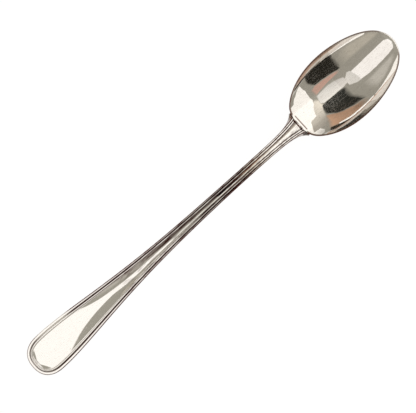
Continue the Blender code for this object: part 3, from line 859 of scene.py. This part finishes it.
# corners of the studio's cards as seen from the bowl, in degrees off the vertical towards +X and towards +Y;
# shade scales the light at single corners, and soft is the share of the way to the middle in which an edge
# fades out
cards = {
    "front_flag": {
        "corners": [(24, 4.5), (17, 5), (9, 5.5), (3, 7), (2, 15), (1, 36), (-4, 58), (-5, 69),
                    (3, 64), (12, 56), (22, 47), (28, 35), (32, 27), (31, 15), (29, 5)],
        "soft": [0.03, 0.03, 0.05, 0.15, 0.35, 0.4, 0.35, 0.2, 0.15, 0.15, 0.15, 0.15, 0.1, 0.1, 0.05],
        "light": (0.014, 0.015, 0.012)},
    "side_flag": {
        "corners": [(28, -83), (24, -86), (14, -86), (0, -86), (-6, -84), (-6, -75), (-7, -54), (-7, -44),
                    (-5, -35), (-2, -37), (1, -39), (15, -44), (21, -45), (25, -51), (28, -63)],
        "soft": [0.1, 0.03, 0.03, 0.03, 0.05, 0.2, 0.25, 0.25, 0.1, 0.04, 0.04, 0.04, 0.06, 0.15, 0.15],
        "light": (0.010, 0.009, 0.006)},
    "fill_card": {
        "corners": [(28, -2), (27, -22), (12, -24), (3, -20), (-2, -14), (-3, 3), (3, 6), (9, 5),
                    (17, 4.5), (25, 3.5)],
        "shade": [1.0, 0.9, 0.8, 0.75, 0.85, 1.0, 1.05, 1.1, 1.1, 1.1],
        "soft": [0.03, 0.1, 0.15, 0.15, 0.08, 0.03, 0.03, 0.03, 0.03, 0.03],
        "light": (0.86, 0.83, 0.79)},
    "rose_card": {
        "corners": [(28, -41), (23, -44), (0, -37), (-3, -36), (-3, -30), (11, -28), (22, -25), (27, -23)],
        "soft": [0.2, 0.05, 0.05, 0.3, 0.3, 0.2, 0.2, 0.2],
        "light": (0.60, 0.38, 0.31)},
    "overhead_softbox": {
        "corners": [(-9, -11), (-30, -14), (-57, -16), (-64, -9), (-66, 5), (-60, 24), (-39, 28), (-22, 27),
                    (-12, 23), (-8, 17), (-8, 1)],
        "light": (1.13, 1.10, 1.075)},
    "halo_card": {
        "corners": [(-9, -15), (-6, -17), (-2, -8), (-1, 3), (-1, 13), (-7, 22), (-12, 24)],
        "shade": [1.0, 1.0, 1.1, 1.2, 1.1, 1.0, 1.0],
        "soft": 0.1,
        "light": (0.80, 0.78, 0.74)},
    "window_softbox": {
        "corners": [(36, -76), (33, -52), (33, -31), (32, -21), (35, -6), (38, 7), (40, 15), (50, 18),
                    (62, 21), (86, 17), (80, -26), (55, -47), (46, -65), (40, -74)],
        "light": (1.16, 1.13, 1.09)},
    "heel_rim_card": {
        "corners": [(55, 17), (51, 27), (50, 36), (48, 50), (46, 58), (49, 66), (56, 62), (66, 50),
                    (76, 34), (80, 18)],
        "shade": [1.0, 1.0, 1.0, 1.0, 0.6, 0.5, 0.9, 1.0, 1.0, 1.0],
        "light": (1.24, 1.20, 1.14)},
    "heel_card": {
        "corners": [(31, -20), (27, -12), (26, 4), (30, 14), (32, 28), (35, 43), (42, 53), (60, 50),
                    (74, 36), (70, 15), (50, 10), (38, -5)],
        "shade": [1.5, 1.6, 1.6, 1.3, 0.95, 0.75, 0.7, 0.75, 0.8, 1.0, 1.2, 1.4],
        "soft": 0.12,
        "light": (0.56, 0.52, 0.455)},
    "left_horizon": {
        "corners": [(28, -83), (14, -85.5), (0, -85.5), (-20, -82), (-40, -72), (-42, -76), (-22, -86),
                    (0, -89.5), (14, -89.5), (30, -86)],
        "light": (1.3, 1.27, 1.22)},
    "horizon_card": {
        "corners": [(-9, 81), (1, 80), (10, 78), (19, 75), (30, 69), (31, 74), (20, 80), (11, 83),
                    (2, 85), (-9, 86)],
        "light": (1.3, 1.27, 1.22)},
    "low_flag": {
        "corners": [(-9, 85), (2, 84), (11, 82), (20, 79), (31, 73), (40, 64), (44, 72), (32, 83), (20, 87.5),
                    (2, 89.5), (-9, 89)],
        "light": (0.03, 0.024, 0.016)},
    "warm_card": {
        "corners": [(34, 29), (28, 35), (21, 46), (12, 55), (3, 63), (-5, 69), (-6, 82), (1, 84),
                    (10, 82), (19, 79), (28, 74), (42, 64), (38, 50)],
        "shade": [1.1, 0.9, 0.9, 0.9, 0.85, 0.6, 0.6, 0.8, 0.9, 0.9, 0.95, 1.15, 1.2],
        "soft": [0.1, 0.2, 0.2, 0.2, 0.3, 0.45, 0.45, 0.2, 0.15, 0.15, 0.15, 0.25, 0.25],
        "light": (0.52, 0.32, 0.21)},
    "left_wall": {
        "corners": [(-8, -37), (-30, -38), (-55, -40), (-64, -48), (-52, -66), (-30, -78), (-12, -80),
                    (-7, -60)],
        "soft": 0.45,
        "light": (0.52, 0.485, 0.415)},
    "right_wall": {
        "corners": [(-10, 34), (-30, 33), (-56, 34), (-52, 48), (-40, 58), (-25, 71), (-15, 74), (-10, 56)],
        "soft": 0.45,
        "light": (0.58, 0.555, 0.50)},
    "rim_card": {
        "corners": [(-10, 83), (-18, 80), (-29, 74), (-44, 60), (-57, 51), (-66, 58), (-50, 72), (-37, 82),
                    (-22, 88), (-10, 89)],
        "light": (1.2, 1.17, 1.12)},
    "tip_card": {
        "corners": [(-72, -14), (-75, 5), (-69, 28), (-61, 45), (-70, 52), (-80, 34), (-88, 5), (-86, -16)],
        "soft": 0.15,
        "light": (0.95, 0.92, 0.87)},
}


def glow(name, colour):
    # a card's light, scaled by the shade of its corners and fading out towards its edge
    material = bpy.data.materials.new(name)
    tree = newTree(material)
    shade = tree.add("ShaderNodeAttribute", {"attribute_name": "shade"}, output="Fac")
    cover = tree.add("ShaderNodeAttribute", {"attribute_name": "cover"}, output="Fac")
    lit = mixColours(tree, shade, black, (*colour, 1.0), clamped=False)
    light = tree.add("ShaderNodeEmission", None, {"Color": lit, "Strength": 1.0})
    clear = tree.add("ShaderNodeBsdfTransparent")
    surface = tree.add("ShaderNodeMixShader", None, {0: cover, 1: clear, 2: light})
    tree.add("ShaderNodeOutputMaterial", None, {"Surface": surface})
    return material


def stageMesh(name, points, faces, material, attributes=None):
    mesh = bpy.data.meshes.new(name)
    mesh.from_pydata(points.tolist(), [], faces)
    mesh.materials.append(material)
    for key, values in (attributes or {}).items():
        mesh.attributes.new(key, "FLOAT", "POINT").data.foreach_set("value", np.asarray(values, np.float32))
    thing = bpy.data.objects.new(name, mesh)
    bpy.context.scene.collection.objects.link(thing)
    return thing


def makeCard(name, card, distance):
    # a fan round the card's middle, with a ring round it that fades out
    outer = np.array(card["corners"], float)
    count = len(outer)
    middle = outer.mean(axis=0)
    soft = np.broadcast_to(card.get("soft", stageSpec["cardSoftness"]), count)
    shade = np.broadcast_to(card.get("shade", 1.0), count)
    tilt = np.radians(np.concatenate((blendTo(outer, middle, soft[:, None]), outer, [middle])))
    off = np.linalg.norm(tilt, axis=1, keepdims=True)
    directions = np.hstack((np.sin(off) * tilt / off, np.cos(off)))
    aim = np.array([bowlSpec["middle"], 0.0, bowlSpec["rim"]])
    side = np.arange(count)
    after = (side + 1) % count
    fan = np.stack((np.full(count, 2 * count), side, after), -1)
    ring = np.stack((side, side + count, after + count, after), -1)
    attributes = {"shade": np.concatenate((shade, shade, [shade.mean()])),
                  "cover": np.concatenate((np.ones(count), np.zeros(count), [1.0]))}
    faces = fan.tolist() + ring.tolist()
    thing = stageMesh(name, aim + directions * distance, faces, glow(name, card["light"]), attributes)
    thing.visible_camera = False
    thing.visible_shadow = False


def makeCards():
    for place, (name, card) in enumerate(cards.items()):
        makeCard(name, card, stageSpec["cardDistance"] + place * stageSpec["cardStep"])


def makeFloor():
    material = bpy.data.materials.new("white_floor")
    tree = newTree(material)
    matt = tree.add("ShaderNodeBsdfDiffuse", None, {"Color": (*[stageSpec["floorColour"]] * 3, 1.0)})
    bright = tree.add("ShaderNodeEmission", None, {"Color": white, "Strength": stageSpec["floorGlow"]})
    seen = tree.add("ShaderNodeLightPath", output="Is Camera Ray")
    mirrored = tree.add("ShaderNodeLightPath", output="Is Glossy Ray")
    through = tree.add("ShaderNodeLightPath", output="Is Transmission Ray")
    lift = tree.maths("MINIMUM", seen + mirrored + through, 1.0) * stageSpec["floorLift"]
    surface = tree.add("ShaderNodeMixShader", None, {0: lift, 1: matt, 2: bright})
    tree.add("ShaderNodeOutputMaterial", None, {"Surface": surface})
    half = stageSpec["floorSize"] / 2
    level = cadBox[0].z - stageSpec["floorGap"]
    corners = half * np.array([[-1, -1, 0], [1, -1, 0], [1, 1, 0], [-1, 1, 0]]) + np.array([0.0, 0.0, level])
    stageMesh("floor", corners, [[0, 1, 2, 3]], material)


def makeDome():
    # studio dome round the cards, pale at the horizon and grey overhead: a quarter circle turned
    # about the vertical
    material = bpy.data.materials.new("dome")
    tree = newTree(material)
    place = tree.add("ShaderNodeTexCoord", output="Object")
    height = tree.add("ShaderNodeSeparateXYZ", None, {0: place}, output="Z")
    band = [share * stageSpec["domeRadius"] for share in stageSpec["horizonBand"]]
    colour = mixColours(tree, height.band(*band), (*stageSpec["horizon"], 1.0), (*stageSpec["zenith"], 1.0))
    light = tree.add("ShaderNodeEmission", None, {"Color": colour, "Strength": 1.0})
    tree.add("ShaderNodeOutputMaterial", None, {"Surface": light})
    rows, sides = stageSpec["domeGrid"]
    rise = np.linspace(0.0, math.pi / 2, rows)[:, None]
    turn = np.linspace(0.0, 2 * math.pi, sides, endpoint=False)[None, :]
    points = np.stack((np.cos(rise) * np.cos(turn), np.cos(rise) * np.sin(turn), np.sin(rise) + 0 * turn), -1)
    faces = gridFaces(rows, sides, True).tolist()
    dome = stageMesh("dome", points.reshape(-1, 3) * stageSpec["domeRadius"], faces, material)
    dome.visible_camera = False


def makeWorld():
    # plain white behind the floor
    world = bpy.data.worlds.new("studio")
    bpy.context.scene.world = world
    tree = newTree(world)
    background = tree.add("ShaderNodeBackground", None, {"Color": white, "Strength": 1.0})
    tree.add("ShaderNodeOutputWorld", None, {"Surface": background})


cameraSpec = {
    "lens": 160.0,                  # millimetres
    "frame": (416, 413),            # pixels
    "pixel": 0.00026555,            # metres of the spoon in one pixel
    "spoonAt": (212.0, 203.8),      # place of the spoon's middle in the picture
    "turn": 42.37,                  # degrees of the spoon's axis over the picture's horizontal
    "tilt": 1.6,                    # degrees off the vertical, towards -Y
    "level": 0.0055,                # height that is in true scale
    "clipEnd": 100.0,
}


def makeCamera():
    spec = cameraSpec
    camera = bpy.data.objects.new("camera", bpy.data.cameras.new("camera"))
    camera.data.lens = spec["lens"]
    camera.data.clip_end = spec["clipEnd"]
    width, height = spec["frame"]
    distance = spec["lens"] / camera.data.sensor_width * width * spec["pixel"]
    tilt = Matrix.Rotation(math.radians(spec["tilt"]), 3, "X")
    turned = tilt @ Matrix.Rotation(math.radians(-spec["turn"]), 3, "Z")
    across = (spec["spoonAt"][0] - width / 2) * spec["pixel"]
    upward = (height / 2 - spec["spoonAt"][1]) * spec["pixel"]
    camera.location = Vector((0.0, 0.0, spec["level"])) + turned @ Vector((-across, -upward, distance))
    camera.rotation_euler = turned.to_euler()
    bpy.context.scene.collection.objects.link(camera)
    bpy.context.scene.camera = camera


bowl = makeBowl()
bowl.data.materials.append(silverFinish("bowl_finish", bowlFinish))
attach(bowl, "root")
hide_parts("bowl")

handle = makeHandle()
handle.data.materials.append(silverFinish("handle_finish", handleFinish))
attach(handle, "root")
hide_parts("handle")
print("pieces made")

makeCards()
makeFloor()
makeDome()
makeWorld()
makeCamera()
bpy.context.scene.view_settings.view_transform = "Standard"
print("stage and camera set")
